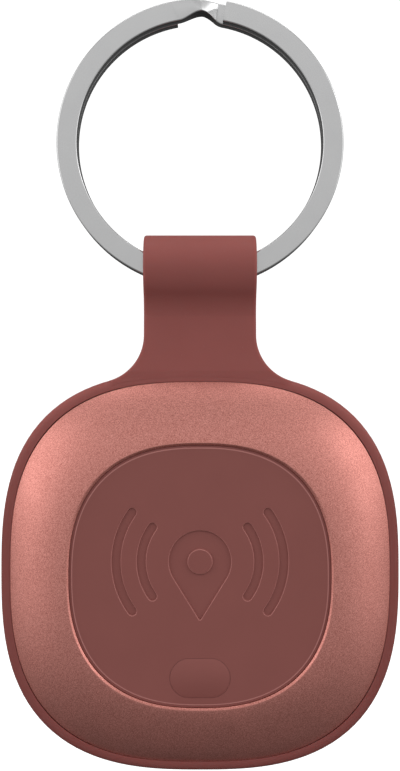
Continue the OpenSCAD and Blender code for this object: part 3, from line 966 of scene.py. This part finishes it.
inside = {
    "plate_adhesive": ("plateAdhesive", adhesive, 0.015),
    "button_seal": ("buttonSeal", rubber, 0.0),
    "front_housing": ("frontHousing", blackPlastic, 0.08),
    "housing_seal": ("housingSeal", rubber, 0.06),
    "rear_housing": ("rearHousing", backFinish, 0.12),
    "housing_screws": ("housingScrews", screwSteel, 0.05),
    "circuit_board": ("circuitBoard", boardFinish, 0.04),
    "bluetooth_chip": ("bluetoothChip", chipFinish, 0.06),
    "crystals": ("crystals", canMetal, 0.10),
    "chip_antenna": ("chipAntenna", whiteCeramic, 0.06),
    "chip_parts": ("chipParts", tanCeramic, 0.04),
    "switch_body": ("switchBody", chipFinish, 0.08),
    "switch_frame": ("switchFrame", canMetal, 0.02),
    "switch_plunger": ("switchPlunger", plungerFinish, 0.10),
    "buzzer_disc": ("buzzerDisc", brass, 0.03),
    "buzzer_ceramic": ("buzzerCeramic", whiteCeramic, 0.02),
    "buzzer_contacts": ("buzzerContacts", gold, 0.06),
    "cell_cap": ("cellCap", cellSteel, 0.12),
    "cell_gasket": ("cellGasket", rubber, 0.05),
    "positive_contact": ("positiveContact", gold, 0.02),
    "negative_contact": ("negativeContact", gold, 0.02),
    "battery_tray": ("batteryTray", blackPlastic, 0.10),
    "cover_seal": ("coverSeal", rubber, 0.0),
    "cover_pad": ("coverPad", foam, 0.04),
}

makeSplitRing()
makeHolder()
makeTrimRing()
makeFrontPlate()
makeButton()
makeBatteryCover()
makeCellCan()
for node, (name, material, edge) in inside.items():
    refine(node, name, material, edge)
print("pieces ready")


# Stage: pale floor, soft studio light, and the camera straight in front.

stageSpec = {
    "floorDrop": 0.25,
    "floorSize": 6.0,
    "distance": 0.125,
    "cameraZ": -0.0358,
    "lens": 59.1,
    "sensor": 36,
}


skyStops = (  # brightness of the studio from straight below, at 0, to straight above, at 1
    (0.0, 0.20),
    (0.20, 0.22),
    (0.35, 0.40),
    (0.50, 0.68),
    (0.62, 0.76),
    (0.69, 0.84),
    (0.78, 0.69),
    (0.90, 0.62),
    (1.0, 0.56),
)

lights = {  # place, what it points at, size and power
    "topBox": ((0, 0, 0.24), (0, 0, -0.05), (0.30, 0.12), 0.19),
    "leftBox": ((-0.28, -0.10, 0.06), (0, 0, -0.05), (0.20, 0.24), 0.11),
    "rightBox": ((0.28, -0.10, 0.06), (0, 0, -0.05), (0.20, 0.24), 0.08),
    "ringStrip": ((0.28, -0.06, 0.13), (0, 0, 0.014), (0.34, 0.045), 0.062),
    "backBox": ((0, 0.34, 0.10), (0, 0, -0.04), (0.40, 0.30), 0.5),
}


def makeFloor():
    bm = bmesh.new()
    bmesh.ops.create_grid(bm, x_segments=2, y_segments=2, size=stageSpec["floorSize"] / 2)
    bmesh.ops.translate(bm, vec=(0, 0, -stageSpec["floorDrop"]), verts=bm.verts)
    floor = looseObject(bm, "floor")
    s = Shader("paleFloor", (0.93, 0.93, 0.93), 0.8)
    s.bsdf.inputs["Emission Color"].default_value = (1, 1, 1, 1)
    s.bsdf.inputs["Emission Strength"].default_value = 0.8
    floor.data.materials.append(s.material)
    floor.visible_glossy = False
    floor.visible_diffuse = False


def makeLight(name, place, target, size, power):
    light = bpy.data.lights.new(name, "AREA")
    light.shape = "RECTANGLE"
    light.size, light.size_y = size
    light.energy = power
    obj = bpy.data.objects.new(name, light)
    bpy.context.scene.collection.objects.link(obj)
    obj.location = place
    obj.rotation_euler = (Vector(target) - Vector(place)).to_track_quat("-Z", "Y").to_euler()
    obj.visible_glossy = name != "backBox"  # the ring's inner wall stays dark


def fade(tree, value, fromLow, fromHigh, toLow, toHigh):
    node = tree.nodes.new("ShaderNodeMapRange")
    node.interpolation_type = "SMOOTHSTEP"
    node.inputs["From Min"].default_value = fromLow
    node.inputs["From Max"].default_value = fromHigh
    node.inputs["To Min"].default_value = toLow
    node.inputs["To Max"].default_value = toHigh
    tree.links.new(value, node.inputs["Value"])
    return node.outputs["Result"]


def multiply(tree, first, second):
    node = tree.nodes.new("ShaderNodeVectorMath")
    node.operation = "MULTIPLY"
    tree.links.new(first, node.inputs[0])
    tree.links.new(second, node.inputs[1])
    return node.outputs["Vector"]


def makeWorld():  # bright in front and above, dark behind, and white where the camera sees it
    world = bpy.data.worlds.new("studio")
    bpy.context.scene.world = world
    world.use_nodes = True
    tree = world.node_tree
    background = tree.nodes["Background"]
    direction = tree.nodes.new("ShaderNodeTexCoord").outputs["Generated"]
    parts = tree.nodes.new("ShaderNodeSeparateXYZ")
    tree.links.new(direction, parts.inputs[0])
    lift = tree.nodes.new("ShaderNodeMapRange")
    lift.inputs["From Min"].default_value = -1
    tree.links.new(parts.outputs["Z"], lift.inputs["Value"])
    ramp = tree.nodes.new("ShaderNodeValToRGB")
    tree.links.new(lift.outputs["Result"], ramp.inputs["Fac"])
    while len(ramp.color_ramp.elements) < len(skyStops):
        ramp.color_ramp.elements.new(0.5)
    for element, (position, level) in zip(ramp.color_ramp.elements, skyStops):
        element.position = position
        element.color = (level, level, level, 1)
    aside = tree.nodes.new("ShaderNodeMath")
    aside.operation = "ABSOLUTE"
    tree.links.new(parts.outputs["X"], aside.inputs[0])
    sides = fade(tree, aside.outputs[0], 0.40, 0.95, 1.0, 1.5)
    rays = tree.nodes.new("ShaderNodeLightPath").outputs
    behind = fade(tree, parts.outputs["Y"], -0.10, 0.45, 1.0, 0.12)
    soft = fade(tree, parts.outputs["Y"], -0.10, 0.45, 1.0, 0.3)  # what matt surfaces get from behind
    choose = tree.nodes.new("ShaderNodeMix")
    tree.links.new(rays["Is Diffuse Ray"], choose.inputs[0])
    tree.links.new(behind, choose.inputs[2])
    tree.links.new(soft, choose.inputs[3])
    factor = multiply(tree, sides, choose.outputs[0])
    studio = multiply(tree, ramp.outputs["Color"], factor)
    seen = rays["Is Camera Ray"]
    mix = tree.nodes.new("ShaderNodeMix")
    mix.data_type = "RGBA"
    mix.inputs[7].default_value = (1.1, 1.1, 1.1, 1)
    tree.links.new(seen, mix.inputs[0])
    tree.links.new(studio, mix.inputs[6])
    tree.links.new(mix.outputs[2], background.inputs["Color"])


def makeCamera():
    lens = bpy.data.cameras.new("camera")
    lens.lens, lens.sensor_width = stageSpec["lens"], stageSpec["sensor"]
    lens.clip_start = 0.01
    camera = bpy.data.objects.new("camera", lens)
    camera.location = (0, -stageSpec["distance"], stageSpec["cameraZ"])
    camera.rotation_euler = (pi / 2, 0, 0)
    bpy.context.scene.collection.objects.link(camera)
    bpy.context.scene.camera = camera


makeFloor()
makeWorld()
makeCamera()
for name, (place, target, size, power) in lights.items():
    makeLight(name, place, target, size, power)
bpy.context.scene.view_settings.view_transform = "Standard"
print("stage ready")
